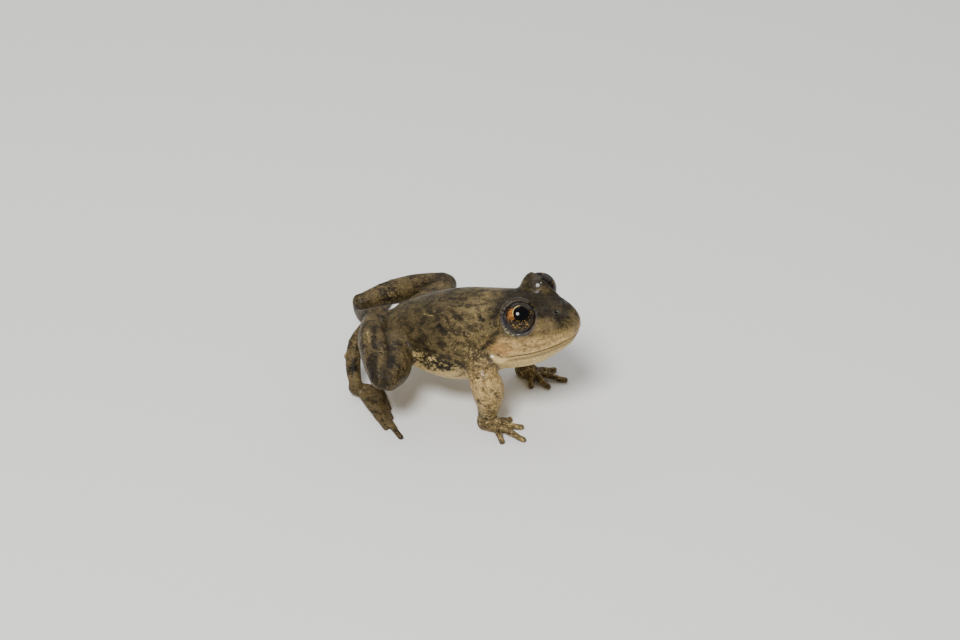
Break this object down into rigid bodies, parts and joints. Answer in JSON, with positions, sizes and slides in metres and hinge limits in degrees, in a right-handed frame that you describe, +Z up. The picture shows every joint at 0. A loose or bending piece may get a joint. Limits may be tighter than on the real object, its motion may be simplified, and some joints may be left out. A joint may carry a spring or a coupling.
{
  "type": "somuncura frog",
  "caption": "Life-size museum model of a small brown aquatic frog sitting alert on its hands and webbed feet, head raised, knees folded out.",
  "frame": {"origin": "on the floor under the middle of the frog's whole outline", "axes": "+X towards the snout, +Y to the frog's left, +Z up from the floor it sits on"},
  "size_m": [0.0426, 0.0364, 0.0213],
  "materials": {
    "skin": "moist, mottled brown, semi-gloss",
    "eye": "wet gloss, black pupil in a gold-flecked iris"
  },
  "bodies": {
    "root": {"head": "skin", "torso": "skin", "eye_L": "eye", "eye_R": "eye", "upper_arm_L": "skin", "upper_arm_R": "skin", "forearm_L": "skin", "forearm_R": "skin", "hand_L": "skin", "hand_R": "skin", "thigh_L": "skin", "thigh_R": "skin", "shank_L": "skin", "shank_R": "skin", "tarsus_L": "skin", "tarsus_R": "skin", "foot_L": "skin", "foot_R": "skin"}
  },
  "joints": []
}
